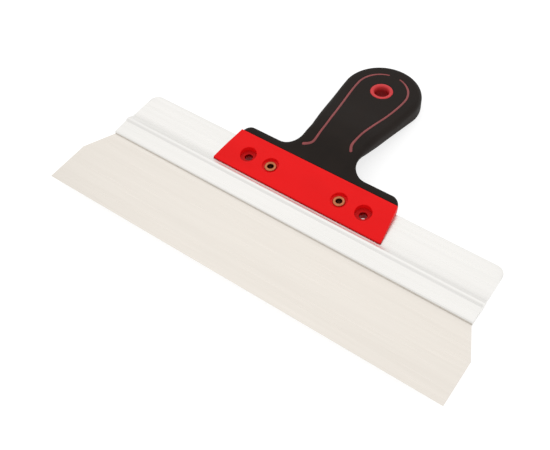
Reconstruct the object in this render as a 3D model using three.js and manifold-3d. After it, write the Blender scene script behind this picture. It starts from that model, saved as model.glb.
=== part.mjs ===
// Flexible putty knife: a thin, wide steel blade in the slot of an aluminium spine, and a handle of
// hard plastic covered with soft plastic, riveted to the spine's flange.
//
// Millimetres, +Z up. Everything is drawn with X along the blade, Y from the working edge to the end of
// the handle, and Z from the middle of the blade's sheet towards the front of the tool. The last lines
// move it so that the back of the handle lies on Z = 0 and the origin is under the middle of the tool.

import * as THREE from 'three';
import { mergeVertices } from 'three/addons/utils/BufferGeometryUtils.js';
import Module from 'manifold-3d';

// Blade
const BLADE_WIDTH = 300;
const BLADE_SIDE = 32; // straight part of each side, up from the working edge
const BLADE_THICKNESS = 0.4;
const BLADE_SHORT = 0.3; // how far the blade stops short of each end of the spine
const TONGUE_DEPTH = 10.5; // part of the blade inside the spine

// Spine, an extrusion with the same section on the front and on the back
const SPINE_LENGTH = 279;
const LIP_Y = 53.6; // where the spine's jaw begins
const LIP_ROUND = 1.1;
const LIP_HEIGHT = 2.0;
const JAW_HEIGHT = 2.4; // of the flat face at the bead's foot
const BEAD_Y = 67.9;
const BEAD_RADIUS = 2.8;
const BEAD_CENTRE_Z = 0.7;
const BEAD_START = THREE.MathUtils.degToRad(143);
const BEAD_END = THREE.MathUtils.degToRad(59);
const FLANGE_START_Y = 73;
const FLANGE_TOP_Y = 99;
const FLANGE_HALF = 0.9;
const FLANGE_CORNER = 6.5;

// Handle, seen from the front
const FOOT_Y = 72.6;
const FOOT_TOP_Y = 100.9; // where red meets black
const FOOT_HALF_WIDTH = 66.5;
const FOOT_TOP_HALF_WIDTH = 62.2;
const SHOULDER_Y = 106.5;
const SHOULDER_RADIUS = 7;
const NECK_HALF_WIDTH = 21.7;
const NECK_FILLET = 12;
const WAIST_Y = 130; // the neck's sides run straight towards here
const SWELL_Y = 165; // and widen from about here to the round end
const SWELL_HALF_WIDTH = 27.6;
const END_RADIUS = 28.6;
const HANG_Y = 183.8; // centre of the hanging hole and of the round end

// Handle, seen from the side: the height of its front along the middle, of the lower end of its
// upright sides, and of its back, each at a few places along Y
const BACK = -8.6;
const END_Y = HANG_Y + END_RADIUS;
const FRONT_LINE = [
  [FOOT_Y, 2],
  [86, 4.7],
  [FOOT_TOP_Y, 6.9],
  [114, 10.4],
  [127, 12.9],
  [136, 12.8],
  [148, 11.3],
  [162, 9],
  [HANG_Y, 6.9],
  [END_Y, 4.9],
];
const SIDE_LINE = [
  [FOOT_Y, -3.2],
  [FOOT_TOP_Y, 3.2],
  [111, 7.8],
  [120, 10],
  [130, 7.6],
  [139, 5.4],
  [156, 2.6],
  [175, -1.4],
  [HANG_Y, -4],
  [END_Y, -7],
];
const BACK_LINE = [
  [FOOT_Y, BACK],
  [FOOT_TOP_Y, BACK],
  [120, 4.2],
  [130, 1.6],
  [139, -0.6],
  [156, -3.5],
  [175, -7.2],
  [HANG_Y, BACK],
  [END_Y, BACK],
];
const GRIP_EDGE = 4; // the front's rounded edge, measured across
const GRIP_EDGE_HEIGHT = 4;
const BACK_EDGE = 6; // the back's rounded edge, measured across
const FOOT_EDGE = 0.8;
const SIDE_MIN = 0.3; // least height of the upright sides

// Core inside the grip
const GRIP_WALL = 5.5;
const PLATE_BACK = 0.3; // the plate's faces, as shares of the way from the handle's back to its front
const PLATE_FRONT = 0.72;
const RIDGE_WIDTH = 1.7;
const RIDGE_RADIUS = 18.7; // round the hanging hole
const RIDGE_FIRST_ANGLE = THREE.MathUtils.degToRad(76);
const RIDGE_SWELL_Y = 165; // the ridges leave the circle towards here
const RIDGE_WAIST_Y = 145; // come in to this
const RIDGE_WAIST_X = 12; // and stay this far from the middle
const RIDGE_TURN = 7; // until they turn outwards, this far above their lower ends
const RIDGE_FOOT_LEFT = [17.2, 110.8];
const RIDGE_FOOT_RIGHT = [14.2, 120.5];
const SLEEVE_RADIUS = 8.2;
const HANG_RADIUS = 5.4;

// Holes in the foot and rivets
const HOLE_Y = 86;
const RIVET_X = 27.2;
const SPARE_X = 45.6; // the two holes left empty
const HOLE_XS = [-SPARE_X, -RIVET_X, RIVET_X, SPARE_X];
const HOLE_RADIUS = 2.8;
const SPARE_FLANGE_RADIUS = 4.4; // the spare holes are wider in the flange than in the foot
const COUNTERBORE_RADIUS = 5.8;
const FRONT_LEDGE = 3.1; // height of the ledges that the rivets' front heads sit on
const SPARE_LEDGE = 1.5; // the spare holes are counterbored deeper
const BACK_LEDGE = -5.4;
const RIVET_HEAD_RADIUS = 4.2;
const RIVET_HEAD_THICKNESS = 1.1;
const RIVET_SHANK_RADIUS = 2.6;
const RIVET_BORE_RADIUS = 2;
const RIVET_ROUND = 0.5;

// Clearances between pieces, and the reach of a cutting tool past what it cuts
const GAP = 0.1;
const SLOT_GAP = 0.06;
const SLOPE_GAP = 0.2;
const CORE_GAP = 0.2;
const REACH = 5;

// Smoothness
const CURVE_STEPS = 6;
const HOLE_SIDES = 28;
const EDGE_STEPS = 4;
const FINENESS = 3.6; // longest side of a triangle before the body is bent
const FLATNESS = 0.03; // triangles that are flat to this are joined again
const RIDGE_STEPS = 30;
const SAME_POINT = 1e-3;

const wasm = await Module();
wasm.setup();

// ---- solids ----

function toSolid(geometry) {
  geometry.deleteAttribute('normal');
  geometry.deleteAttribute('uv');
  const merged = mergeVertices(geometry);
  return new wasm.Manifold(
    new wasm.Mesh({
      numProp: 3,
      vertProperties: new Float32Array(merged.attributes.position.array),
      triVerts: new Uint32Array(merged.index.array),
    }),
  );
}

function toGeometry(solid) {
  const { vertProperties, triVerts } = solid.getMesh();
  const geometry = new THREE.BufferGeometry();
  geometry.setAttribute('position', new THREE.BufferAttribute(vertProperties, 3));
  geometry.setIndex(new THREE.BufferAttribute(triVerts, 1));
  geometry.computeVertexNormals();
  return geometry;
}

// A flat plate of an outline drawn in X and Y, between two heights.
function plate(shape, low, high) {
  const geometry = new THREE.ExtrudeGeometry(shape, {
    depth: high - low,
    bevelEnabled: false,
    curveSegments: CURVE_STEPS,
  });
  return toSolid(geometry.translate(0, 0, low));
}

// A closed body between the loops that outlineAt gives for an inset, each at its own height.
function layers(outlineAt, rings) {
  const loops = rings.map(([inset]) => outlineAt(inset));
  const count = loops[0].length;
  const positions = loops.flatMap((loop, i) => loop.flatMap(([x, y]) => [x, y, rings[i][1]]));
  const index = [];
  for (let i = 0; i + 1 < loops.length; i += 1) {
    for (let a = 0; a < count; a += 1) {
      const b = (a + 1) % count;
      const low = i * count;
      const high = low + count;
      index.push(low + a, low + b, high + b, low + a, high + b, high + a);
    }
  }
  const top = (loops.length - 1) * count;
  for (const [a, b, c] of THREE.ShapeUtils.triangulateShape(vectors(loops[0]), [])) {
    index.push(c, b, a);
  }
  for (const [a, b, c] of THREE.ShapeUtils.triangulateShape(vectors(loops.at(-1)), [])) {
    index.push(top + a, top + b, top + c);
  }
  return new wasm.Manifold(
    new wasm.Mesh({
      numProp: 3,
      vertProperties: new Float32Array(positions),
      triVerts: new Uint32Array(index),
    }),
  );
}

// Bends a body to the side view. Each level is a height in the body and the line that it goes to;
// between two levels the heights are shared out, and beyond the last ones they keep their distance.
function follow(solid, levels) {
  const bent = solid.refineToLength(FINENESS).warp((point) => {
    const [, y, z] = point;
    let i = 1;
    while (i < levels.length - 1 && z > levels[i][0]) {
      i += 1;
    }
    const [low, lowLine] = levels[i - 1];
    const [high, highLine] = levels[i];
    const share = THREE.MathUtils.clamp((z - low) / (high - low), 0, 1);
    const beyond = z - THREE.MathUtils.clamp(z, low, high);
    point[2] = THREE.MathUtils.lerp(lowLine(y), highLine(y), share) + beyond;
  });
  return bent.simplify(FLATNESS);
}

// A bar of a section drawn in Y and Z, centred along X.
function bar(section, length) {
  const geometry = new THREE.ExtrudeGeometry(section, {
    depth: length,
    bevelEnabled: false,
    curveSegments: CURVE_STEPS,
  });
  const drawnToTool = new THREE.Matrix4().makeBasis(
    new THREE.Vector3(0, 1, 0),
    new THREE.Vector3(0, 0, 1),
    new THREE.Vector3(1, 0, 0),
  );
  return toSolid(geometry.translate(0, 0, -length / 2).applyMatrix4(drawnToTool));
}

function disc(x, y, radius, low, high) {
  const geometry = new THREE.CylinderGeometry(radius, radius, high - low, HOLE_SIDES);
  return toSolid(geometry.rotateX(Math.PI / 2).translate(x, y, (low + high) / 2));
}

// ---- outlines ----

function vectors(points) {
  return points.map(([x, y]) => new THREE.Vector2(x, y));
}

// A closed outline of straight lines. A point that repeats the one before it is left out.
function polygon(points) {
  const corners = vectors(points);
  return new THREE.Shape().setFromPoints(
    corners.filter((corner, i) => corner.distanceTo(corners.at(i - 1)) > SAME_POINT),
  );
}

// Points on the right-hand side and their mirror image in X. A point on the middle line stays single.
function mirrored(points) {
  const left = points.filter(([x]) => x > SAME_POINT).map(([x, y]) => [-x, y]);
  return [...points, ...left.reverse()];
}

function curvePoints(curve, steps) {
  return curve.getPoints(steps).map(({ x, y }) => [x, y]);
}

function arcPoints(x, y, radius, start, end) {
  const arc = new THREE.EllipseCurve(x, y, radius, radius, start, end, end < start);
  return curvePoints(arc, 2 * CURVE_STEPS);
}

// A smooth line through a few points of the side view, as a height for each Y. It doesn't overshoot.
function sideLine(knots) {
  const rises = knots.slice(1).map(([y, z], i) => (z - knots[i][1]) / (y - knots[i][0]));
  const slopes = knots.map((knot, i) => {
    const before = rises[Math.max(i - 1, 0)];
    const after = rises[Math.min(i, rises.length - 1)];
    return before * after > 0 ? (2 * before * after) / (before + after) : 0;
  });
  return (y) => {
    const inside = THREE.MathUtils.clamp(y, knots[0][0], knots.at(-1)[0]);
    const i = Math.max(1, knots.findIndex((knot) => knot[0] >= inside));
    const [startY, start] = knots[i - 1];
    const [endY, end] = knots[i];
    const length = endY - startY;
    const t = (inside - startY) / length;
    const ease = t * t * (3 - 2 * t);
    const leave = t * (1 - t) ** 2 * length * slopes[i - 1];
    const arrive = t * t * (1 - t) * length * slopes[i];
    return start + (end - start) * ease + leave - arrive;
  };
}

const front = sideLine(FRONT_LINE);
const side = sideLine(SIDE_LINE);
const back = sideLine(BACK_LINE);

// Heights at a share of the way from the back to the front.
function between(share) {
  return (y) => THREE.MathUtils.lerp(back(y), front(y), share);
}

function bladeShape() {
  const shoulder = SPINE_LENGTH / 2 - BLADE_SHORT;
  return polygon(mirrored([
    [BLADE_WIDTH / 2, 0],
    [BLADE_WIDTH / 2, BLADE_SIDE],
    [shoulder, LIP_Y - GAP],
    [shoulder, LIP_Y + TONGUE_DEPTH],
  ]));
}

// Spine section: front half from the lip to the flange's end, then the back half.
function spineSection() {
  const section = new THREE.Shape();
  const slot = BLADE_THICKNESS / 2 + SLOT_GAP;
  const slotEnd = LIP_Y + TONGUE_DEPTH + SLOT_GAP;
  const beadFoot = BEAD_Y + BEAD_RADIUS * Math.cos(BEAD_START);
  const top = FLANGE_TOP_Y - FLANGE_HALF / 2;
  section.moveTo(slotEnd, slot);
  section.lineTo(LIP_Y, slot);
  section.lineTo(LIP_Y, LIP_HEIGHT - LIP_ROUND);
  section.quadraticCurveTo(LIP_Y, LIP_HEIGHT, LIP_Y + LIP_ROUND, LIP_HEIGHT);
  section.lineTo(beadFoot, JAW_HEIGHT);
  section.absarc(BEAD_Y, BEAD_CENTRE_Z, BEAD_RADIUS, BEAD_START, BEAD_END, true);
  section.lineTo(FLANGE_START_Y, FLANGE_HALF);
  section.lineTo(top, FLANGE_HALF);
  section.quadraticCurveTo(FLANGE_TOP_Y, FLANGE_HALF, FLANGE_TOP_Y, 0);
  section.quadraticCurveTo(FLANGE_TOP_Y, -FLANGE_HALF, top, -FLANGE_HALF);
  section.lineTo(FLANGE_START_Y, -FLANGE_HALF);
  section.absarc(BEAD_Y, -BEAD_CENTRE_Z, BEAD_RADIUS, -BEAD_END, -BEAD_START, true);
  section.lineTo(LIP_Y + LIP_ROUND, -LIP_HEIGHT);
  section.quadraticCurveTo(LIP_Y, -LIP_HEIGHT, LIP_Y, LIP_ROUND - LIP_HEIGHT);
  section.lineTo(LIP_Y, -slot);
  section.lineTo(slotEnd, -slot);
  section.closePath();
  return section;
}

// What the spine takes out of the foot: its flange and the slopes of its two beads, with clearance.
function spineRoom() {
  const crest = BEAD_CENTRE_Z + BEAD_RADIUS + GAP;
  const half = FLANGE_HALF + GAP;
  const slopeStart = BEAD_Y + BEAD_RADIUS * Math.cos(BEAD_END) + SLOPE_GAP;
  const slopeEnd = FLANGE_START_Y + SLOPE_GAP;
  const top = FLANGE_TOP_Y + SLOPE_GAP;
  return polygon([
    [BEAD_Y, -crest],
    [slopeStart, -crest],
    [slopeEnd, -half],
    [top, -half],
    [top, half],
    [slopeEnd, half],
    [slopeStart, crest],
    [BEAD_Y, crest],
  ]);
}

function spineOutline() {
  const half = SPINE_LENGTH / 2;
  const arcY = FLANGE_TOP_Y - FLANGE_CORNER;
  const corner = arcPoints(half - FLANGE_CORNER, arcY, FLANGE_CORNER, 0, Math.PI / 2);
  return polygon(mirrored([[half, LIP_Y - REACH], ...corner]));
}

// The foot's outline drawn in by inset. It runs on above the foot's top, where the foot is cut off.
function footOutline(inset) {
  const narrowing = (FOOT_HALF_WIDTH - FOOT_TOP_HALF_WIDTH) / (FOOT_TOP_Y - FOOT_Y);
  return mirrored([
    [FOOT_HALF_WIDTH - inset * (1 + narrowing), FOOT_Y + inset],
    [FOOT_TOP_HALF_WIDTH - narrowing * REACH - inset, FOOT_TOP_Y + REACH],
  ]);
}

// The grip's outline drawn in by inset. It starts below the foot's top, where the grip is cut off.
function gripOutline(inset) {
  const cornerX = FOOT_TOP_HALF_WIDTH - SHOULDER_RADIUS;
  const cornerY = SHOULDER_Y - SHOULDER_RADIUS;
  const fillet = NECK_FILLET + inset;
  const filletX = NECK_HALF_WIDTH + NECK_FILLET;
  const filletY = SHOULDER_Y + NECK_FILLET;
  const neck = NECK_HALF_WIDTH - inset;
  const end = END_RADIUS - inset;
  const swell = new THREE.CubicBezierCurve(
    ...vectors([[neck, filletY], [neck, WAIST_Y], [SWELL_HALF_WIDTH - inset, SWELL_Y], [end, HANG_Y]]),
  );
  return mirrored([
    [FOOT_TOP_HALF_WIDTH - inset, FOOT_TOP_Y - 2 * REACH],
    ...arcPoints(cornerX, cornerY, SHOULDER_RADIUS - inset, 0, Math.PI / 2),
    ...arcPoints(filletX, filletY, fillet, -Math.PI / 2, -Math.PI),
    ...curvePoints(swell, 2 * CURVE_STEPS).slice(1),
    ...arcPoints(0, HANG_Y, end, 0, Math.PI / 2).slice(1),
  ]);
}

// A band along one red line of the grip: round the hanging hole, down the side, and out at the foot.
function ridgeShape(hand, width) {
  const [footX, footY] = hand < 0 ? RIDGE_FOOT_LEFT : RIDGE_FOOT_RIGHT;
  const turnY = footY + RIDGE_TURN;
  const line = new THREE.Path();
  line.absarc(0, HANG_Y, RIDGE_RADIUS, RIDGE_FIRST_ANGLE, 0, true);
  line.bezierCurveTo(RIDGE_RADIUS, RIDGE_SWELL_Y, RIDGE_WAIST_X, RIDGE_WAIST_Y, RIDGE_WAIST_X, turnY);
  line.quadraticCurveTo(RIDGE_WAIST_X, footY + RIDGE_TURN / 3, footX, footY);
  const left = [];
  const right = [];
  for (let i = 0; i <= RIDGE_STEPS; i += 1) {
    const t = i / RIDGE_STEPS;
    const { x, y } = line.getPointAt(t);
    const along = line.getTangentAt(t);
    left.push([hand * (x - (along.y * width) / 2), y + (along.x * width) / 2]);
    right.push([hand * (x + (along.y * width) / 2), y - (along.x * width) / 2]);
  }
  return polygon([...left, ...right.reverse()]);
}

// ---- pieces ----

function blade() {
  return plate(bladeShape(), -BLADE_THICKNESS / 2, BLADE_THICKNESS / 2);
}

function spine() {
  const height = BEAD_CENTRE_Z + BEAD_RADIUS + REACH;
  let solid = bar(spineSection(), SPINE_LENGTH);
  solid = solid.intersect(plate(spineOutline(), -height, height));
  for (const x of HOLE_XS) {
    const radius = Math.abs(x) === SPARE_X ? SPARE_FLANGE_RADIUS : HOLE_RADIUS;
    solid = solid.subtract(disc(x, HOLE_Y, radius, -REACH, REACH));
  }
  return solid;
}

// A body with a rounded front edge, upright sides and a rounder back edge, bent to the side view.
function moulding(outlineAt, frontEdge, frontEdgeHeight) {
  const wall = BACK_EDGE;
  const wallTop = wall + GRIP_EDGE;
  const top = wallTop + frontEdgeHeight;
  const rings = [];
  for (let i = 0; i <= EDGE_STEPS; i += 1) {
    const angle = (i / EDGE_STEPS) * (Math.PI / 2);
    rings.push([BACK_EDGE * (1 - Math.sin(angle)), wall * (1 - Math.cos(angle))]);
  }
  for (let i = 0; i <= EDGE_STEPS; i += 1) {
    const angle = (i / EDGE_STEPS) * (Math.PI / 2);
    rings.push([frontEdge * (1 - Math.cos(angle)), wallTop + frontEdgeHeight * Math.sin(angle)]);
  }
  return follow(layers(outlineAt, rings), [
    [0, back],
    [wall, side],
    [wallTop, (y) => Math.max(side(y) + SIDE_MIN, front(y) - frontEdgeHeight)],
    [top, front],
  ]);
}

function foot() {
  const body = moulding(footOutline, FOOT_EDGE, FOOT_EDGE);
  return body.trimByPlane([0, -1, 0], -FOOT_TOP_Y);
}

function gripBody() {
  const body = moulding(gripOutline, GRIP_EDGE, GRIP_EDGE_HEIGHT);
  return body.trimByPlane([0, 1, 0], FOOT_TOP_Y + GAP);
}

// The core's plate inside the grip. Drawn with a clearance, it is the hollow that the plate fills.
function corePlate(clearance) {
  const body = layers((inset) => gripOutline(GRIP_WALL + inset), [
    [-clearance, -clearance],
    [-clearance, GRIP_EDGE + clearance],
  ]);
  return follow(body, [
    [0, between(PLATE_BACK)],
    [GRIP_EDGE, between(PLATE_FRONT)],
  ]);
}

// What stands out of the plate: the two ridges on the front, and the sleeve round the hanging hole.
function coreOutcrops(clearance) {
  let solid = disc(0, HANG_Y, SLEEVE_RADIUS + clearance, BACK - REACH, -BACK + REACH);
  for (const hand of [-1, 1]) {
    const band = plate(ridgeShape(hand, RIDGE_WIDTH + 2 * clearance), 0, REACH);
    const ridge = follow(band, [
      [0, between(0.5)],
      [REACH, (y) => front(y) + REACH],
    ]);
    solid = solid.add(ridge);
  }
  return solid;
}

function handleCore() {
  const low = BACK - REACH;
  const high = -BACK + REACH;
  let solid = foot().add(corePlate(0)).add(coreOutcrops(0).intersect(gripBody()));
  solid = solid.subtract(bar(spineRoom(), 3 * FOOT_HALF_WIDTH));
  for (const x of HOLE_XS) {
    solid = solid.subtract(disc(x, HOLE_Y, HOLE_RADIUS, low, high));
    solid = solid.subtract(disc(x, HOLE_Y, COUNTERBORE_RADIUS, low, BACK_LEDGE));
    const frontLedge = Math.abs(x) === SPARE_X ? SPARE_LEDGE : FRONT_LEDGE;
    solid = solid.subtract(disc(x, HOLE_Y, COUNTERBORE_RADIUS, frontLedge, high));
  }
  return solid.subtract(disc(0, HANG_Y, HANG_RADIUS, low, high));
}

function grip() {
  return gripBody().subtract(corePlate(CORE_GAP)).subtract(coreOutcrops(GAP));
}

// A tube with a rolled head at each end, turned about the hole's axis.
function rivetGeometry() {
  const low = BACK_LEDGE - GAP / 2;
  const high = FRONT_LEDGE + GAP / 2;
  const rim = RIVET_HEAD_THICKNESS - RIVET_ROUND;
  const half = [
    [RIVET_SHANK_RADIUS, 0],
    [RIVET_HEAD_RADIUS, 0],
    [RIVET_HEAD_RADIUS, rim],
    [RIVET_HEAD_RADIUS - RIVET_ROUND, RIVET_HEAD_THICKNESS],
    [RIVET_SHANK_RADIUS, RIVET_HEAD_THICKNESS],
    [RIVET_BORE_RADIUS, rim],
  ];
  const profile = [
    ...half.map(([r, up]) => new THREE.Vector2(r, high + up)),
    ...half.map(([r, up]) => new THREE.Vector2(r, low - up)).reverse(),
  ];
  profile.push(profile[0].clone());
  return new THREE.LatheGeometry(profile, HOLE_SIDES).rotateX(Math.PI / 2);
}

// ---- assembly ----

const STEEL = new THREE.MeshStandardMaterial({ color: 0xe6dfd8, roughness: 0.3, metalness: 1 });
const ALUMINIUM = new THREE.MeshStandardMaterial({ color: 0xf2f2ee, roughness: 0.4, metalness: 1 });
const RED = new THREE.MeshStandardMaterial({ color: 0xe3171b, roughness: 0.45, metalness: 0 });
const BLACK = new THREE.MeshStandardMaterial({ color: 0x262422, roughness: 0.8, metalness: 0 });
const COPPER = new THREE.MeshStandardMaterial({ color: 0xc47a4a, roughness: 0.35, metalness: 1 });

const tool = new THREE.Group();

function addPiece(name, geometry, material) {
  const mesh = new THREE.Mesh(geometry, material);
  mesh.name = name;
  tool.add(mesh);
  return mesh;
}

addPiece('blade', toGeometry(blade()), STEEL);
addPiece('spine', toGeometry(spine()), ALUMINIUM);
addPiece('handle_core', toGeometry(handleCore()), RED);
addPiece('grip', toGeometry(grip()), BLACK);
for (const [name, x] of [['rivet_left', -RIVET_X], ['rivet_right', RIVET_X]]) {
  addPiece(name, rivetGeometry(), COPPER).position.set(x, HOLE_Y, 0);
}

tool.position.set(0, -END_Y / 2, -BACK);

const object = new THREE.Group();
object.add(tool);

export default object;
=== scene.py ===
import math

import bmesh
import bpy
import numpy as np
from mathutils import Matrix, Vector
from mathutils.geometry import delaunay_2d_cdt, tessellate_polygon


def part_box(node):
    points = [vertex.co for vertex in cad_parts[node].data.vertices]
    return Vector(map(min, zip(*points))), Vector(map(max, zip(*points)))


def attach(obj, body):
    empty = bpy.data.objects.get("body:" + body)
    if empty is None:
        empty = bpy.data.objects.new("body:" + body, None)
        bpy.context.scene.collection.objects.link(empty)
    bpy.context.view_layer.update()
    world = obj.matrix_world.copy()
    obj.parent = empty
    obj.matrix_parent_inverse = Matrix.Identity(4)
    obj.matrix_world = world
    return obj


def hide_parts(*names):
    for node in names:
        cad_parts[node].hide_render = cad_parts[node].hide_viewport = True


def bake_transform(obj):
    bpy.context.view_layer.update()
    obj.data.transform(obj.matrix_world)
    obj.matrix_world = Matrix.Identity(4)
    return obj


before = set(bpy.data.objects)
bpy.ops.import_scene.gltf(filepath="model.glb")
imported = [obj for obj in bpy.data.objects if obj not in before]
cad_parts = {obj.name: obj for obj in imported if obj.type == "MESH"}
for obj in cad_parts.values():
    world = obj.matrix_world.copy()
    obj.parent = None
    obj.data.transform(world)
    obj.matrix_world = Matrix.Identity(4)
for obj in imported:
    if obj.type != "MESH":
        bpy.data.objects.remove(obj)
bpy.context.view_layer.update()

# The pieces are drawn in millimetres: X along the blade, Y from the working edge to the end of the
# handle, and Z from the middle of the blade's sheet towards the front. Shell.build() puts them in the
# frame, whose origin is elsewhere.
MM = 0.001
EDGE = Vector((0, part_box("blade")[0].y, sum(corner.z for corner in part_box("blade")) / 2))


def drawn_box(node):
    """Lowest and highest corner of a CAD node, as the pieces are drawn."""
    return [(corner - EDGE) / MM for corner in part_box(node)]


blade_low, blade_high = drawn_box("blade")
spine_low, spine_high = drawn_box("spine")
core_low, core_high = drawn_box("handle_core")
grip_low, grip_high = drawn_box("grip")
rivet_low, rivet_high = drawn_box("rivet_right")

# Clearances between pieces
GAP = 0.1
SLOT_GAP = 0.06
SLOPE_GAP = 0.2

# Blade
BLADE_HALF = blade_high.x
BLADE_SIDE = 32
SHEET_HALF = blade_high.z
SHEET_ROUND = 0.06
BLADE_SHORT = 0.3  # how far the blade stops short of each end of the spine
BLADE_ROWS = 48
BLADE_COLUMNS = 50

# Spine
SPINE_HALF = spine_high.x
LIP_Y = spine_low.y
LIP_ROUND = 1.1
LIP_HEIGHT = 2.0
JAW_HEIGHT = 2.4
JAW_Y = LIP_Y + 2.5  # where the jaw's face starts, behind the lip's rounding
JAW_START_HEIGHT = 2.05
SLOT_HALF = SHEET_HALF + SLOT_GAP
BEAD_Y = 67.9
BEAD_RADIUS = 2.8
BEAD_CENTRE_Z = spine_high.z - BEAD_RADIUS
BEAD_START = 143
BEAD_END = 59
FLANGE_START_Y = 73
FLANGE_TOP_Y = spine_high.y
FLANGE_HALF = 0.9
FLANGE_CORNER = 6.5
END_CHAMFER = 0.15

# Handle, seen from the front
FOOT_Y = core_low.y
FOOT_TOP_Y = grip_low.y - GAP
FOOT_HALF = core_high.x
FOOT_TOP_HALF = grip_high.x
FOOT_CORNER = 1.3
SHOULDER_Y = 106.5
SHOULDER_RADIUS = 7
NECK_HALF = 21.7
NECK_FILLET = 12
WAIST_Y = 130
SWELL_Y = 165
SWELL_HALF = 27.6
END_RADIUS = 28.6
END_Y = grip_high.y
HANG_Y = END_Y - END_RADIUS

# Handle, seen from the side: the height of its front along the middle, of the lower end of its upright
# sides, and of its back, each at a few places along Y
BACK = grip_low.z
FRONT_LINE = [(FOOT_Y, 2), (86, 4.7), (FOOT_TOP_Y, 6.9), (114, 10.4), (127, 12.9), (136, 12.8),
              (148, 11.3), (162, 9), (HANG_Y, 6.9), (END_Y, 4.9)]
SIDE_LINE = [(FOOT_Y, -3.2), (FOOT_TOP_Y, 3.2), (111, 7.8), (120, 10), (130, 7.6), (139, 5.4),
             (156, 2.6), (175, -1.4), (HANG_Y, -4), (END_Y, -7)]
BACK_LINE = [(FOOT_Y, BACK), (FOOT_TOP_Y, BACK), (120, 4.2), (130, 1.6), (139, -0.6), (156, -3.5),
             (175, -7.2), (HANG_Y, BACK), (END_Y, BACK)]
CROWN_Y = 127
CROWN_SIDES = 0.5  # how much lower the crown is at the neck's sides
GRIP_EDGE = 4  # the front's rounded edge: how far in it reaches, and how far down
GRIP_EDGE_HEIGHT = 4
BACK_EDGE = 6  # the same for the back, down from the upright sides
FOOT_EDGE = 0.8
SIDE_MIN = 0.3
SEAM_ROUND = 0.35

# Red lines in the grip's front and ring round the hanging hole
RIDGE_RADIUS = 18.7
RIDGE_FIRST_ANGLE = 76
RIDGE_SWELL_Y = 165
RIDGE_WAIST_Y = 145
RIDGE_WAIST_X = 12
RIDGE_TURN = 7  # the lines turn outwards this far above their feet
RIDGE_TURN_OUT = 0.8
RIDGE_FOOT_LEFT = (17.2, 110.8)
RIDGE_FOOT_RIGHT = (14.2, 120.5)
RIDGE_HALF = 0.8
RIDGE_FOOT_HALF = 1.05
RIDGE_TIP_HALF = 0.55
GROOVE_DEPTH = 0.45
RING_RADIUS = 8.15
HANG_RADIUS = 5.4

# Holes and rivets
RIVET_X = (rivet_low.x + rivet_high.x) / 2
HOLE_Y = (rivet_low.y + rivet_high.y) / 2
RIVET_RADIUS = (rivet_high.x - rivet_low.x) / 2
SPARE_X = 45.6
HOLE_RADIUS = 2.8
SPARE_FLANGE_RADIUS = 4.4
COUNTERBORE_RADIUS = 5.8
FRONT_LEDGE = 3.1
SPARE_LEDGE = 1.5
BACK_LEDGE = -5.4
HOLES = (  # each with the height of its ledge on the front
    (-SPARE_X, SPARE_LEDGE),
    (-RIVET_X, FRONT_LEDGE),
    (RIVET_X, FRONT_LEDGE),
    (SPARE_X, SPARE_LEDGE),
)
RIVET_HEAD = 1.1
RIVET_BORE = 2

# Fineness of the meshes
GRID = 1.6
CIRCLE_STEPS = 56
ROUND_STEPS = 9
EDGE_MARGIN = 0.35  # width of the first band inside a rounded edge
CUT_REACH = 12  # how far an outline runs on past the place where its body is cut off
SMOOTH_UP_TO = math.radians(34)
SAME_POINT = 1e-4  # in millimetres
TOUCHING = 1e-7  # in metres

# Camera
VIEW_AZIMUTH = math.radians(39.45)
VIEW_ELEVATION = math.radians(53.12)
VIEW_ROLL = math.radians(-4.95)
VIEW_TARGET = (2.11, 49.79, 0)
VIEW_DISTANCE = 0.528
SENSOR_WIDTH = 36
LENS = 54.04

# Floor and light
FLOOR_HALF = 4
FLOOR_GLOW = 0.72
WORLD_STRENGTH = 1.0


# ---- curves in the plane, as arrays of points ----

def arc(centre, radius, start, end, steps):
    angles = np.radians(np.linspace(start, end, steps + 1))
    return np.array(centre) + radius * np.column_stack((np.cos(angles), np.sin(angles)))


def bezier(a, b, c, d, steps):
    t = np.linspace(0, 1, steps + 1)[:, None]
    a, b, c, d = (np.array(p, float) for p in (a, b, c, d))
    return (1 - t) ** 3 * a + 3 * (1 - t) ** 2 * t * b + 3 * (1 - t) * t**2 * c + t**3 * d


def line(a, b, steps=1):
    t = np.linspace(0, 1, steps + 1)[:, None]
    return np.array(a, float) * (1 - t) + np.array(b, float) * t


def joined(*curves):
    """One row of points without repeats."""
    points = np.vstack(curves)
    apart = np.linalg.norm(np.diff(points, axis=0), axis=1) > SAME_POINT
    return points[np.append(True, apart)]


def mirrored(right):
    """A closed loop, anticlockwise, from its right-hand side drawn upwards."""
    left = right[::-1] * (-1, 1)
    return joined(right, left[np.abs(left[:, 0]) > SAME_POINT])


def inward(loop, distance):
    """A closed anticlockwise loop, drawn in by a distance."""
    before = loop - np.roll(loop, 1, axis=0)
    after = np.roll(loop, -1, axis=0) - loop
    turned = [np.column_stack((-v[:, 1], v[:, 0])) for v in (before, after)]
    turned = [v / np.linalg.norm(v, axis=1)[:, None] for v in turned]
    middle = turned[0] + turned[1]
    middle /= np.linalg.norm(middle, axis=1)[:, None]
    mitre = np.clip((middle * turned[1]).sum(axis=1), 0.5, 1)
    return loop + middle * (distance / mitre)[:, None]


def inside(points, loop):
    """Which points lie inside a closed loop."""
    result = np.zeros(len(points), bool)
    x, y = points[:, 0], points[:, 1]
    for (x0, y0), (x1, y1) in zip(loop, np.roll(loop, -1, axis=0)):
        if y0 == y1:
            continue
        crosses = (y0 > y) != (y1 > y)
        result ^= crosses & (x < (x1 - x0) * (y - y0) / (y1 - y0) + x0)
    return result


def far_from(points, loops, distance):
    """Which points are at least that far from every point of the loops."""
    keep = np.ones(len(points), bool)
    for loop in loops:
        for start in range(0, len(loop), 200):
            part = loop[start:start + 200]
            gaps = np.linalg.norm(points[:, None] - part[None], axis=2).min(axis=1)
            keep &= gaps > distance
    return keep


# ---- surfaces ----

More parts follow.
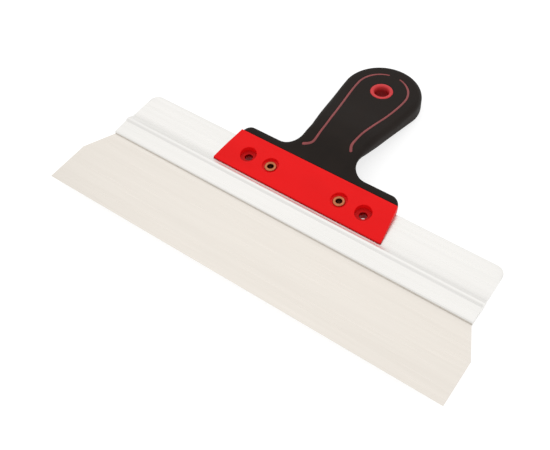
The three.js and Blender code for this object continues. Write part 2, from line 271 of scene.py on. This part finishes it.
class Shell:
    """The points and faces of one closed piece, drawn in millimetres."""

    def __init__(self):
        self.points = []
        self.faces = []

    def add(self, points):
        """Adds a row of points and returns their numbers."""
        start = len(self.points)
        self.points.extend(tuple(p) for p in points)
        return np.arange(start, len(self.points))

    def row(self, plan, heights):
        """Adds a row of points of the handle, none below its back, and returns their numbers.

        The heights are an array, or one height for the whole row."""
        heights = np.maximum(np.broadcast_to(heights, len(plan)), BACK)
        return self.add((x, y, z) for (x, y), z in zip(plan, heights))

    def band(self, a, b):
        """A closed band of four-sided faces between two rows."""
        for i in range(len(a)):
            j = (i + 1) % len(a)
            self.faces.append((a[i], a[j], b[j], b[i]))

    def bands(self, rows):
        for a, b in zip(rows, rows[1:]):
            self.band(a, b)

    def fill(self, outer, holes, height, spacing=None):
        """Fills a loop with triangles, round the holes, on a surface given by its height."""
        borders = [outer, *holes]
        loops = [np.array([self.points[i][:2] for i in border]) for border in borders]
        numbers = list(np.concatenate(borders))
        plan = list(np.vstack(loops))
        edges = []
        start = 0
        for loop in loops:
            count = len(loop)
            edges += [(start + i, start + (i + 1) % count) for i in range(count)]
            start += count
        if spacing:
            low, high = loops[0].min(axis=0), loops[0].max(axis=0)
            grid = np.stack(np.meshgrid(
                np.arange(low[0], high[0], spacing),
                np.arange(low[1], high[1], spacing * 0.9),
            ), axis=2)
            grid[1::2, :, 0] += spacing / 2
            grid = grid.reshape(-1, 2)
            grid = grid[inside(grid, loops[0])]
            for loop in loops[1:]:
                grid = grid[~inside(grid, loop)]
            grid = grid[far_from(grid, loops, spacing * 0.55)]
            numbers += list(self.row(grid, height(grid)))
            plan += list(grid)
        plan = [Vector(p) for p in plan]
        made = delaunay_2d_cdt(plan, edges, [], 1, 1e-6)
        corners, faces, origins = made[0], made[2], made[3]
        corners = np.array([tuple(c) for c in corners])
        centres = np.array([corners[list(f)].mean(axis=0) for f in faces])
        keep = inside(centres, loops[0])
        for loop in loops[1:]:
            keep &= ~inside(centres, loop)
        for face, kept in zip(faces, keep):
            if kept:
                self.faces.append(tuple(numbers[origins[i][0]] for i in face))

    def cap(self, row, axes):
        """A flat end over one row, filled in the plane of two axes."""
        flat = [Vector((self.points[i][axes[0]], self.points[i][axes[1]], 0)) for i in row]
        for face in tessellate_polygon([flat]):
            self.faces.append(tuple(row[i] for i in face))

    def build(self, name, material, body, slot, shape=None):
        """Makes the piece, puts it in the frame and lets it ride on a body."""
        mesh = bpy.data.meshes.new(name)
        place = [tuple(EDGE + Vector(p) * MM) for p in self.points]
        mesh.from_pydata(place, [], [tuple(int(i) for i in f) for f in self.faces])
        work = bmesh.new()
        work.from_mesh(mesh)
        bmesh.ops.remove_doubles(work, verts=work.verts, dist=TOUCHING)
        if shape:
            shape(work)
        bmesh.ops.recalc_face_normals(work, faces=work.faces)
        work.to_mesh(mesh)
        work.free()
        piece = bpy.data.objects.new(name, mesh)
        bpy.context.scene.collection.objects.link(piece)
        return finished(piece, material, body)


def finished(piece, material, body):
    """Smooth shading, material and body of a piece that is in place."""
    piece.data.shade_smooth()
    piece.data.set_sharp_from_angle(angle=SMOOTH_UP_TO)
    piece.data.materials.clear()
    piece.data.materials.append(material)
    if body:
        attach(piece, body)
    return piece


def cut(piece, tool):
    """Takes the tool's solid out of a piece and removes the tool."""
    modifier = piece.modifiers.new("cut", "BOOLEAN")
    modifier.operation = "DIFFERENCE"
    modifier.solver = "EXACT"
    modifier.object = tool
    evaluated = piece.evaluated_get(bpy.context.evaluated_depsgraph_get())
    mesh = bpy.data.meshes.new_from_object(evaluated)
    piece.modifiers.remove(modifier)
    piece.data = mesh
    bpy.data.objects.remove(tool)


def cutter(rows):
    """A closed solid from rows of points, only used to cut with."""
    shell = Shell()
    numbers = [shell.add(row) for row in rows]
    shell.bands(numbers)
    mesh = bpy.data.meshes.new("cutter")
    place = [tuple(EDGE + Vector(p) * MM) for p in shell.points]
    ends = [tuple(int(i) for i in numbers[0]), tuple(int(i) for i in numbers[-1])]
    mesh.from_pydata(place, [], [tuple(int(i) for i in f) for f in shell.faces] + ends)
    work = bmesh.new()
    work.from_mesh(mesh)
    bmesh.ops.recalc_face_normals(work, faces=work.faces)
    work.to_mesh(mesh)
    work.free()
    tool = bpy.data.objects.new("cutter", mesh)
    bpy.context.scene.collection.objects.link(tool)
    return tool


def pin_cutter(x, y, radius, low, high):
    circle = arc((x, y), radius, 0, 360, CIRCLE_STEPS)[:-1]
    return cutter([np.column_stack((circle, np.full(len(circle), z))) for z in (low, high)])


# ---- materials ----

class Paint:
    """Shorthand for the nodes of one procedural material."""

    def __init__(self, name, metallic, roughness, specular=0.5):
        self.material = bpy.data.materials.new(name)
        self.material.use_nodes = True
        self.tree = self.material.node_tree
        self.shader = self.tree.nodes["Principled BSDF"]
        self.shader.inputs["Metallic"].default_value = metallic
        self.shader.inputs["Roughness"].default_value = roughness
        self.shader.inputs["Specular IOR Level"].default_value = specular

    def node(self, kind, **values):
        node = self.tree.nodes.new("ShaderNode" + kind)
        for key, value in values.items():
            if key in node.inputs:
                node.inputs[key].default_value = value
            else:
                setattr(node, key, value)
        return node

    def link(self, output, entry):
        self.tree.links.new(output, entry)

    def noise(self, scale, detail=3, roughness=0.5):
        """Noise with a scale in each direction, in cycles per metre."""
        place = self.node("TexCoord")
        mapping = self.node("Mapping", Scale=scale)
        noise = self.node("TexNoise", Scale=1, Detail=detail, Roughness=roughness)
        self.link(place.outputs["Object"], mapping.inputs["Vector"])
        self.link(mapping.outputs["Vector"], noise.inputs["Vector"])
        return noise.outputs["Fac"]

    def spread(self, noise, low, high):
        """The middle of a noise's range, where most of it lies, spread from low to high."""
        node = self.node("MapRange", clamp=True)
        for key, number in (("From Min", 0.3), ("From Max", 0.7), ("To Min", low), ("To Max", high)):
            node.inputs[key].default_value = number
        self.link(noise, node.inputs["Value"])
        return node.outputs["Result"]

    def colour(self, value, dark, light):
        """The base colour goes from dark to light as the value goes from 0 to 1."""
        node = self.node("Mix", data_type="RGBA")
        colours = [s for s in node.inputs if s.type == "RGBA"]
        colours[0].default_value = (*dark, 1)
        colours[1].default_value = (*light, 1)
        self.link(value, node.inputs["Factor"])
        output = next(s for s in node.outputs if s.type == "RGBA")
        self.link(output, self.shader.inputs["Base Color"])

    def paint_shade_below(self, dark, low, high):
        """Painted shade: the base colour fades to another, darker one between two heights, drawn in
        millimetres, and keeps that one below them.
        """
        place = self.node("TexCoord")
        split = self.node("SeparateXYZ")
        self.link(place.outputs["Object"], split.inputs["Vector"])
        node = self.node("MapRange", clamp=True)
        for key, number in (("From Min", EDGE.z + low * MM), ("From Max", EDGE.z + high * MM)):
            node.inputs[key].default_value = number
        self.link(split.outputs["Z"], node.inputs["Value"])
        entry = self.shader.inputs["Base Color"]
        earlier = entry.links[0].from_socket
        mix = self.node("Mix", data_type="RGBA")
        colours = [s for s in mix.inputs if s.type == "RGBA"]
        colours[0].default_value = (*dark, 1)
        self.link(earlier, colours[1])
        self.link(node.outputs["Result"], mix.inputs["Factor"])
        self.link(next(s for s in mix.outputs if s.type == "RGBA"), entry)

    def rough(self, noise, low, high):
        self.link(self.spread(noise, low, high), self.shader.inputs["Roughness"])

    def bump(self, noise, depth):
        """Relief of a depth in millimetres."""
        node = self.node("Bump", Strength=1.0, Distance=depth * MM)
        self.link(noise, node.inputs["Height"])
        self.link(node.outputs["Normal"], self.shader.inputs["Normal"])


def steel():
    paint = Paint("blade_steel", metallic=1, roughness=0.3)
    grain = paint.noise((25, 2600, 400), detail=4)
    streaks = paint.noise((7, 260, 60), detail=3)
    paint.colour(paint.spread(streaks, 0, 1), (0.725, 0.68, 0.623), (0.753, 0.708, 0.651))
    paint.rough(grain, 0.26, 0.38)
    paint.bump(grain, 0.006)
    return paint.material


def aluminium():
    paint = Paint("spine_aluminium", metallic=1, roughness=0.3)
    lines = paint.noise((5, 1800, 1800), detail=4)
    broad = paint.noise((9, 300, 300), detail=2)
    paint.colour(paint.spread(broad, 0, 1), (0.775, 0.762, 0.735), (0.805, 0.79, 0.765))
    paint.rough(lines, 0.24, 0.36)
    paint.bump(lines, 0.008)
    return paint.material


def red_plastic(name, bright, inside, floor_z, mouth_z):
    """Red plastic with painted shade down in its holes: the colour fades to the inside colour between two
    heights and keeps it below them.
    """
    paint = Paint(name, metallic=0, roughness=0.42, specular=0.12)
    pebble = paint.noise((2600, 2600, 2600), detail=2)
    flow = paint.noise((24, 60, 60), detail=3)
    paint.colour(paint.spread(flow, 0, 1), bright, [0.93 * c for c in bright])
    # painted shade: below mouth_z the red darkens towards inside, and below floor_z it is all inside
    # colour
    paint.paint_shade_below(inside, floor_z, mouth_z)
    paint.rough(flow, 0.36, 0.46)
    paint.bump(pebble, 0.012)
    return paint.material


def line_plastic():
    paint = Paint("red_line", metallic=0, roughness=0.5, specular=0.5)
    flow = paint.noise((120, 120, 120), detail=3)
    paint.colour(paint.spread(flow, 0, 1), (0.20, 0.030, 0.032), (0.27, 0.045, 0.047))
    paint.rough(flow, 0.42, 0.55)
    return paint.material


def soft_grip():
    paint = Paint("soft_grip", metallic=0, roughness=0.62, specular=0.12)
    pebble = paint.noise((2300, 2300, 2300), detail=2)
    patches = paint.noise((70, 70, 70), detail=4)
    paint.colour(paint.spread(patches, 0, 1), (0.0112, 0.0078, 0.006), (0.017, 0.012, 0.0095))
    paint.rough(patches, 0.56, 0.70)
    paint.bump(pebble, 0.03)
    return paint.material


def copper():
    paint = Paint("rivet_copper", metallic=1, roughness=0.35)
    tarnish = paint.noise((900, 900, 900), detail=4)
    paint.colour(paint.spread(tarnish, 0, 1), (0.42, 0.135, 0.06), (0.60, 0.22, 0.10))
    # Painted shade: the copper darkens below its head's top, down the tube's bore and the head's low rim,
    # and stays dark lower down, the back head included
    paint.paint_shade_below((0.16, 0.03, 0.004), FRONT_LEDGE + 0.1, FRONT_LEDGE + RIVET_HEAD - 0.25)
    paint.rough(tarnish, 0.28, 0.45)
    paint.bump(tarnish, 0.01)
    return paint.material


STEEL = steel()
ALUMINIUM = aluminium()
# RED: painted shade (0.38, 0, 0.001) down the foot's holes, on its low end by the blade and over its
# whole back
RED = red_plastic("red_plastic", (0.825, 0.005, 0.006), (0.38, 0, 0.001), 1.1, 2.2)
# Painted sheen and shade: the ring is the foot's red plastic, coloured paler and pinker for the highlight
# on its rounded face, with painted shade (0.34, 0, 0.002) down its hanging hole and over its back
RING_SHEEN_RED = red_plastic("red_ring_painted_sheen", (0.62, 0.05, 0.055), (0.34, 0, 0.002), 2, 5.2)
LINE = line_plastic()
BLACK = soft_grip()
COPPER = copper()


# ---- blade ----

def blade_half_width(y):
    return np.interp(y, [0, BLADE_SIDE, LIP_Y, blade_high.y],
                     [BLADE_HALF, BLADE_HALF, SPINE_HALF - BLADE_SHORT, SPINE_HALF - BLADE_SHORT])


def make_blade():
    """A thin sheet in rows along the blade."""
    steps = np.linspace(SHEET_ROUND, blade_high.y - SHEET_ROUND, BLADE_ROWS)
    steps = np.unique(np.concatenate((steps, [BLADE_SIDE, LIP_Y])))
    stations = [(0, 1), *((y, 0) for y in steps), (blade_high.y, 1)]
    shell = Shell()
    rows = []
    for y, end in stations:
        half = blade_half_width(y) - SHEET_ROUND
        across = np.linspace(-half, half, BLADE_COLUMNS)
        top = SHEET_HALF - SHEET_ROUND * end
        rim = SHEET_HALF - SHEET_ROUND
        section = [*((x, top) for x in across[::-1]), (-half - SHEET_ROUND, rim),
                   (-half - SHEET_ROUND, -rim), *((x, -top) for x in across),
                   (half + SHEET_ROUND, -rim), (half + SHEET_ROUND, rim)]
        rows.append(shell.add((x, y, z) for x, z in section))
    shell.bands(rows)
    for row in (rows[0], rows[-1]):
        shell.cap(row, axes=(0, 2))
    piece = shell.build("blade_sheet", STEEL, None, "blade_steel")
    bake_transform(piece)
    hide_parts("blade")


# ---- spine ----

def spine_section():
    """The spine's section in Y and Z, as a closed anticlockwise loop."""
    slot_end = blade_high.y + SLOT_GAP
    foot = BEAD_Y + BEAD_RADIUS * math.cos(math.radians(BEAD_START))
    tip = FLANGE_TOP_Y - FLANGE_HALF
    front = joined(
        line((slot_end, SLOT_HALF), (LIP_Y, SLOT_HALF)),
        arc((LIP_Y + LIP_ROUND, LIP_HEIGHT - LIP_ROUND), LIP_ROUND, 180, 90, 8),
        line((JAW_Y, JAW_START_HEIGHT), (foot, JAW_HEIGHT), 3),
        arc((BEAD_Y, BEAD_CENTRE_Z), BEAD_RADIUS, BEAD_START, BEAD_END, 16),
        line((FLANGE_START_Y, FLANGE_HALF), (tip, FLANGE_HALF), 3),
        arc((tip, 0), FLANGE_HALF, 90, 0, 6),
    )
    back = front[::-1] * (1, -1)
    return joined(front, back[1:])[::-1]


def spine_at(section, x):
    """The section at one place along the spine: the flange is lower in its rounded corners."""
    over = max(0, abs(x) - (SPINE_HALF - FLANGE_CORNER))
    top = FLANGE_TOP_Y - FLANGE_CORNER + math.sqrt(max(0, FLANGE_CORNER**2 - over**2))
    moved = section.copy()
    flange = moved[:, 0] > FLANGE_START_Y
    share = (top - FLANGE_START_Y) / (FLANGE_TOP_Y - FLANGE_START_Y)
    moved[flange, 0] = FLANGE_START_Y + (moved[flange, 0] - FLANGE_START_Y) * share
    return moved


def make_spine():
    section = spine_section()
    corner = SPINE_HALF - FLANGE_CORNER + FLANGE_CORNER * np.sin(np.radians(np.linspace(0, 90, 13)))
    right = np.concatenate((np.linspace(0, corner[0], 14), corner[1:-1], [SPINE_HALF - END_CHAMFER]))
    stations = np.unique(np.round(np.concatenate((-right, right)), 6))
    end = inward(spine_at(section, SPINE_HALF), END_CHAMFER)
    slices = [(x, spine_at(section, x)) for x in stations]
    shell = Shell()
    rows = []
    for x, outline in [(-SPINE_HALF, end), *slices, (SPINE_HALF, end)]:
        rows.append(shell.add((x, y, z) for y, z in outline))
    shell.bands(rows)
    for row in (rows[0], rows[-1]):
        shell.cap(row, axes=(1, 2))
    piece = shell.build("spine_extrusion", ALUMINIUM, None, "spine_aluminium")
    for x, _ in HOLES:
        radius = SPARE_FLANGE_RADIUS if abs(x) == SPARE_X else HOLE_RADIUS
        cut(piece, pin_cutter(x, HOLE_Y, radius, -FLANGE_HALF * 2, FLANGE_HALF * 2))
    finished(piece, ALUMINIUM, "tool")
    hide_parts("spine")


# ---- front and back of the handle ----

def side_line(knots):
    """A smooth line through a few points of the side view, as heights for an array of Y.

    It doesn't overshoot the points."""
    places, heights = np.array(knots).T
    rises = np.diff(heights) / np.diff(places)
    before, after = np.append(rises[0], rises), np.append(rises, rises[-1])
    both = before * after > 0
    slopes = np.where(both, 2 * before * after / np.where(both, before + after, 1), 0)

    def height(y):
        y = np.clip(y, places[0], places[-1])
        i = np.clip(np.searchsorted(places, y), 1, len(places) - 1)
        length = places[i] - places[i - 1]
        t = (y - places[i - 1]) / length
        rise = (heights[i] - heights[i - 1]) * t * t * (3 - 2 * t)
        leave = t * (1 - t) ** 2 * length * slopes[i - 1]
        arrive = t * t * (1 - t) * length * slopes[i]
        return heights[i - 1] + rise + leave - arrive

    return height


front_line = side_line(FRONT_LINE)
side_height = side_line(SIDE_LINE)
back_line = side_line(BACK_LINE)


def front_height(plan):
    """Height of the handle's front. The neck is a little lower along its sides than in the middle."""
    sideways = np.clip(np.abs(plan[:, 0]) / NECK_HALF, 0, 1.2) ** 2
    started = np.clip((plan[:, 1] - FOOT_TOP_Y) / (CROWN_Y - FOOT_TOP_Y), 0, 1)
    ended = np.clip((HANG_Y - plan[:, 1]) / (HANG_Y - CROWN_Y), 0, 1)
    return front_line(plan[:, 1]) - CROWN_SIDES * sideways * started**2 * ended


def back_height(plan):
    return back_line(plan[:, 1])


def front_edge_depth(plan, most):
    """How far the front's rounded edge reaches down: not below the upright sides."""
    return np.minimum(most, front_height(plan) - side_height(plan[:, 1]) - SIDE_MIN)


def back_edge_depth(plan):
    return side_height(plan[:, 1]) - back_height(plan)


# ---- red lines ----

def ridge_path(foot):
    """Middle of one line, from beside the hanging hole down to its foot. Both are drawn on the right."""
    x, y = foot
    turn = y + RIDGE_TURN
    return joined(
        arc((0, HANG_Y), RIDGE_RADIUS, RIDGE_FIRST_ANGLE, 0, 24),
        bezier((RIDGE_RADIUS, HANG_Y), (RIDGE_RADIUS, RIDGE_SWELL_Y),
               (RIDGE_WAIST_X, RIDGE_WAIST_Y), (RIDGE_WAIST_X, turn), 40),
        bezier((RIDGE_WAIST_X, turn), (RIDGE_WAIST_X, turn - RIDGE_TURN / 2),
               (RIDGE_WAIST_X + RIDGE_TURN_OUT, y + RIDGE_TURN / 3), foot, 12),
    )


def ridge_loop(side, share, extra=0.0):
    """A closed anticlockwise loop round one red line, at a share of its half width."""
    path = ridge_path(RIDGE_FOOT_LEFT if side < 0 else RIDGE_FOOT_RIGHT)
    along = np.gradient(path, axis=0)
    along /= np.linalg.norm(along, axis=1)[:, None]
    across = np.column_stack((-along[:, 1], along[:, 0]))
    length = np.append(0, np.cumsum(np.linalg.norm(np.diff(path, axis=0), axis=1)))
    part = length / length[-1]
    half = np.interp(part, [0, 0.12, 0.85, 1], [RIDGE_TIP_HALF, RIDGE_HALF, RIDGE_HALF, RIDGE_FOOT_HALF])
    half = half * share + extra
    left = path + across * half[:, None]
    right = path - across * half[:, None]
    heading = math.degrees(math.atan2(along[-1, 1], along[-1, 0]))
    foot = arc(path[-1], half[-1], heading + 90, heading - 90, 8)[1:-1]
    heading = math.degrees(math.atan2(along[0, 1], along[0, 0]))
    tip = arc(path[0], half[0], heading - 90, heading - 270, 8)[1:-1]
    loop = np.vstack((left, foot, right[::-1], tip))
    if side > 0:
        return loop[::-1]
    return loop * (-1, 1)


def make_ridges():
    """Each red line stands in its groove in the handle's front, slightly rounded on top."""
    for side, hand in ((-1, "left"), (1, "right")):
        shell = Shell()
        rows = []
        for share, drop in ((1, GROOVE_DEPTH), (1, 0.15), (0.8, 0.03), (0.45, -0.03)):
            loop = ridge_loop(side, share, -0.04)
            rows.append(shell.row(loop, front_height(loop) - drop))
        shell.bands(rows)
        shell.fill(rows[0], [], front_height)
        shell.fill(rows[-1], [], front_height)
        piece = shell.build(f"red_line_{hand}", LINE, "tool", "red_plastic")
        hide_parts("handle_core")


# ---- mouldings of the handle ----

def skin(shell, outline, edge, depth, height, out, holes, grooves):
    """One side of a moulding, from the outline over its rounded edge to the filled middle.

    outline gives the loop for an inset. edge is how far in the rounding reaches and depth gives how far
    down. out is 1 on the front and -1 on the back. A hole is a row of rings, each a radius and a function
    that gives its height; a groove is a row of loops with their depths. Returns the outline's row and the
    last ring of each hole."""
    rows = []
    for angle in np.radians(np.linspace(0, 90, ROUND_STEPS + 1)):
        plan = outline(edge * (1 - math.cos(angle)))
        rows.append(shell.row(plan, height(plan) - out * depth(plan) * (1 - math.sin(angle))))
    plan = outline(edge + EDGE_MARGIN)
    rows.append(shell.row(plan, height(plan)))
    shell.bands(rows)
    borders = []
    ends = []
    for centre, rings in holes:
        hole = []
        for radius, level in rings:
            plan = arc(centre, radius, 0, 360, CIRCLE_STEPS)[:-1]
            hole.append(shell.row(plan, level(plan)))
        shell.bands(hole)
        borders.append(hole[0])
        ends.append(hole[-1])
    for loops in grooves:
        groove = [shell.row(plan, height(plan) - out * drop) for plan, drop in loops]
        shell.bands(groove)
        shell.fill(groove[-1], [], height)
        borders.append(groove[0])
    shell.fill(rows[-1], borders, height, GRID)
    return rows[0], ends


def moulding(outline, front, back):
    """A closed body with a front and a back skin, each given by its arguments for skin()."""
    shell = Shell()
    front_rim, front_ends = skin(shell, outline, *front)
    back_rim, back_ends = skin(shell, outline, *back)
    shell.band(front_rim, back_rim)
    for a, b in zip(front_ends, back_ends):
        shell.band(a, b)
    return shell


def seam(place, keep):
    """Cuts a moulding off flat and rounds the edge of the cut. keep is 1 to keep what lies above."""
    y = EDGE.y + place * MM
    steps = [(0, SEAM_ROUND), (0.3 * SEAM_ROUND, 0.3 * SEAM_ROUND), (SEAM_ROUND, 0)]

    def job(work):
        for away, _ in steps:
            parts = work.verts[:] + work.edges[:] + work.faces[:]
            plane = (0, y + keep * away * MM, 0)
            bmesh.ops.bisect_plane(work, geom=parts, plane_co=plane, plane_no=(0, -keep, 0),
                                   clear_outer=away == 0)
        bmesh.ops.recalc_face_normals(work, faces=work.faces)
        work.normal_update()
        moves = []
        for vertex in work.verts:
            for away, drawn_in in steps:
                direction = Vector((vertex.normal.x, 0, vertex.normal.z))
                near = abs(vertex.co.y - y - keep * away * MM) < TOUCHING
                if near and direction.length > 1e-6:
                    moves.append((vertex, direction.normalized() * drawn_in * MM))
        for vertex, move in moves:
            vertex.co -= move
        bmesh.ops.contextual_create(work, geom=[e for e in work.edges if e.is_boundary])

    return job


def foot_outline(inset):
    """The red foot's outline drawn in by inset, with small rounded corners.

    It runs on above the foot's top, where the foot is cut off."""
    narrowing = (FOOT_HALF - FOOT_TOP_HALF) / (FOOT_TOP_Y - FOOT_Y)
    lean = math.degrees(math.atan(narrowing))
    corner = max(FOOT_CORNER - inset, 0.2)
    low = (FOOT_HALF - inset * (1 + narrowing) - corner * (1 + narrowing), FOOT_Y + inset + corner)
    high = (FOOT_TOP_HALF - inset - narrowing * CUT_REACH, FOOT_TOP_Y + CUT_REACH - inset)
    return mirrored(joined(
        line((0, FOOT_Y + inset), (low[0], FOOT_Y + inset), 60),
        arc(low, corner, -90, lean, 6),
        line((low[0] + corner, low[1]), high, 9)[1:],
    ))


def counterbore(height, out, ledge):
    """The rings of a counterbored hole, from the sloping face down to the level ledge."""
    wide, narrow = COUNTERBORE_RADIUS, HOLE_RADIUS

    def below(depth):
        return lambda plan: height(plan) - out * depth

    def above_ledge(up):
        return lambda plan: np.full(len(plan), ledge + out * up)

    return [(wide + 0.8, below(0)), (wide + 0.3, below(0)), (wide + 0.1, below(0.05)),
            (wide + 0.02, below(0.12)), (wide, below(0.25)), (wide - 0.08, above_ledge(0.08)),
            (wide - 0.3, above_ledge(0)), (narrow + 0.25, above_ledge(0)),
            (narrow + 0.07, above_ledge(-0.07)), (narrow, above_ledge(-0.25))]


def spine_room():
    """The foot's slot for the spine's flange and for the slopes of its two beads."""
    slope = BEAD_Y + BEAD_RADIUS * math.cos(math.radians(BEAD_END)) + SLOPE_GAP
    crest = BEAD_CENTRE_Z + BEAD_RADIUS + GAP
    half = FLANGE_HALF + GAP
    slope_end = FLANGE_START_Y + SLOPE_GAP
    front = [(BEAD_Y, crest), (slope, crest), (slope_end, half), (FLANGE_TOP_Y + SLOPE_GAP, half)]
    section = front + [(y, -z) for y, z in front[::-1]]
    reach = FOOT_HALF * 1.5
    return cutter([[(x, y, z) for y, z in section] for x in (-reach, reach)])


def make_foot():
    front_holes = [((x, HOLE_Y), counterbore(front_height, 1, ledge)) for x, ledge in HOLES]
    back_holes = [((x, HOLE_Y), counterbore(back_height, -1, BACK_LEDGE)) for x, _ in HOLES]
    shell = moulding(
        foot_outline,
        (FOOT_EDGE, lambda plan: front_edge_depth(plan, FOOT_EDGE), front_height, 1, front_holes, []),
        (BACK_EDGE, back_edge_depth, back_height, -1, back_holes, []),
    )
    piece = shell.build("handle_foot", RED, None, "red_plastic", shape=seam(FOOT_TOP_Y, -1))
    cut(piece, spine_room())
    finished(piece, RED, "tool")
    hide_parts("handle_core")


def grip_outline():
    """The grip seen from the front. It starts below the foot's top, where the grip is cut off."""
    corner = FOOT_TOP_HALF - SHOULDER_RADIUS
    fillet = NECK_HALF + NECK_FILLET
    return mirrored(joined(
        line((FOOT_TOP_HALF, FOOT_TOP_Y - CUT_REACH), (FOOT_TOP_HALF, SHOULDER_Y - SHOULDER_RADIUS), 4),
        arc((corner, SHOULDER_Y - SHOULDER_RADIUS), SHOULDER_RADIUS, 0, 90, 14),
        line((corner, SHOULDER_Y), (fillet, SHOULDER_Y), 12),
        arc((fillet, SHOULDER_Y + NECK_FILLET), NECK_FILLET, -90, -180, 18),
        bezier((NECK_HALF, SHOULDER_Y + NECK_FILLET), (NECK_HALF, WAIST_Y), (SWELL_HALF, SWELL_Y),
               (END_RADIUS, HANG_Y), 48),
        arc((0, HANG_Y), END_RADIUS, 0, 90, 38),
    ))


def make_grip():
    def ring(height, out):
        steps = ((0.5, 0), (0.2, 0.03), (0.08, 0.12), (0.05, 0.5))
        return [(RING_RADIUS + r, lambda plan, d=d: height(plan) - out * d) for r, d in steps]

    grooves = [[(ridge_loop(hand, 1, extra), drop)
                for extra, drop in ((0.45, 0), (0.2, 0.02), (0.06, 0.12), (0.02, GROOVE_DEPTH))]
               for hand in (-1, 1)]
    middle = (0, HANG_Y)
    outline = grip_outline()
    shell = moulding(
        lambda inset: inward(outline, inset),
        (GRIP_EDGE, lambda plan: front_edge_depth(plan, GRIP_EDGE_HEIGHT), front_height, 1,
         [(middle, ring(front_height, 1))], grooves),
        (BACK_EDGE, back_edge_depth, back_height, -1, [(middle, ring(back_height, -1))], []),
    )
    piece = shell.build("grip_cover", BLACK, "tool", "soft_grip", shape=seam(FOOT_TOP_Y + GAP, 1))
    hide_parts("grip")


def make_ring():
    """The sleeve round the hanging hole, with a rounded face on the front and on the back."""
    section = [(HANG_RADIUS, 2.2), (HANG_RADIUS + 0.05, 1.0), (HANG_RADIUS + 0.3, 0.35),
               (HANG_RADIUS + 0.75, -0.02), (HANG_RADIUS + 1.3, -0.15), (RING_RADIUS - 0.7, -0.12),
               (RING_RADIUS - 0.2, 0.05), (RING_RADIUS, 0.35), (RING_RADIUS, 1.5)]
    shell = Shell()
    rows = []
    for profile, height, out in ((section, front_height, 1), (section[::-1], back_height, -1)):
        for radius, depth in profile:
            plan = arc((0, HANG_Y), radius, 0, 360, CIRCLE_STEPS)[:-1]
            rows.append(shell.row(plan, height(plan) - out * depth))
    shell.bands([*rows, rows[0]])
    piece = shell.build("hanging_ring", RING_SHEEN_RED, "tool", "red_plastic")
    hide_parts("handle_core")


# ---- rivets ----

def make_rivet(name, x):
    """A tube with both ends rolled over, from one counterbore's ledge to the other."""
    bore, rim = RIVET_BORE, RIVET_RADIUS
    top = RIVET_HEAD
    head = [(bore, -1.5), (bore, 0.1), (bore + 0.12, 0.5 * top), (bore + 0.45, 0.85 * top),
            (bore + 0.9, top), (rim - 0.75, 0.96 * top), (rim - 0.3, 0.75 * top),
            (rim - 0.05, 0.4 * top), (rim, 0.12), (rim - 0.2, 0), (HOLE_RADIUS - 0.2, 0),
            (HOLE_RADIUS - 0.2, -1.5)]
    ledges = ((FRONT_LEDGE + GAP / 2, 1, head), (BACK_LEDGE - GAP / 2, -1, head[::-1]))
    shell = Shell()
    rows = []
    for ledge, out, profile in ledges:
        for radius, up in profile:
            plan = arc((x, HOLE_Y), radius, 0, 360, CIRCLE_STEPS)[:-1]
            rows.append(shell.row(plan, ledge + out * up))
    shell.bands([*rows, rows[0]])
    piece = shell.build(name + "_tube", COPPER, "tool", "rivet_metal")
    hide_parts(name)


make_blade()
make_spine()
make_foot()
make_grip()
make_ridges()
make_ring()
make_rivet("rivet_left", -RIVET_X)
make_rivet("rivet_right", RIVET_X)


# ---- floor, light and camera ----

def make_floor():
    half = FLOOR_HALF
    mesh = bpy.data.meshes.new("floor")
    corners = [(-half, -half, 0), (half, -half, 0), (half, half, 0), (-half, half, 0)]
    mesh.from_pydata(corners, [], [(0, 1, 2, 3)])
    floor = bpy.data.objects.new("floor", mesh)
    bpy.context.scene.collection.objects.link(floor)
    paint = Paint("floor", metallic=0, roughness=0.9, specular=0.0)
    tone = paint.noise((3, 3, 3), detail=2)
    paint.colour(paint.spread(tone, 0, 1), (0.39, 0.39, 0.39), (0.41, 0.41, 0.41))
    paint.shader.inputs["Emission Color"].default_value = (1, 1, 1, 1)
    paint.shader.inputs["Emission Strength"].default_value = FLOOR_GLOW
    mesh.materials.append(paint.material)


def make_world():
    world = bpy.data.worlds.new("studio")
    world.use_nodes = True
    background = world.node_tree.nodes["Background"]
    background.inputs["Color"].default_value = (1, 1, 1, 1)
    background.inputs["Strength"].default_value = WORLD_STRENGTH
    bpy.context.scene.world = world


def softbox(name, direction, distance, size, power):
    """A square soft light that shines on the middle of the tool."""
    light = bpy.data.lights.new(name, "AREA")
    light.shape = "SQUARE"
    light.size = size
    light.energy = power
    lamp = bpy.data.objects.new(name, light)
    bpy.context.scene.collection.objects.link(lamp)
    away = Vector(direction).normalized()
    lamp.location = away * distance
    lamp.rotation_mode = "QUATERNION"
    lamp.rotation_quaternion = (-away).to_track_quat("-Z", "Y")


def make_camera():
    back = Vector((math.sin(VIEW_AZIMUTH) * math.cos(VIEW_ELEVATION),
                   -math.cos(VIEW_AZIMUTH) * math.cos(VIEW_ELEVATION), math.sin(VIEW_ELEVATION)))
    camera = bpy.data.cameras.new("camera")
    camera.sensor_width = SENSOR_WIDTH
    camera.lens = LENS
    camera.clip_start = 0.05
    camera.clip_end = 20
    eye = bpy.data.objects.new("camera", camera)
    bpy.context.scene.collection.objects.link(eye)
    level = Vector((0, 0, 1)).cross(back).normalized()
    upright = back.cross(level)
    across = level * math.cos(VIEW_ROLL) + upright * math.sin(VIEW_ROLL)
    eye.location = EDGE + Vector(VIEW_TARGET) * MM + back * VIEW_DISTANCE
    eye.rotation_mode = "QUATERNION"
    eye.rotation_quaternion = Matrix((across, back.cross(across), back)).transposed().to_quaternion()
    bpy.context.scene.camera = eye


make_floor()
make_world()
softbox("key", (-0.35, 0.6, 1.0), 1.6, 1.6, 1.5)
make_camera()
bpy.context.scene.view_settings.view_transform = "Standard"
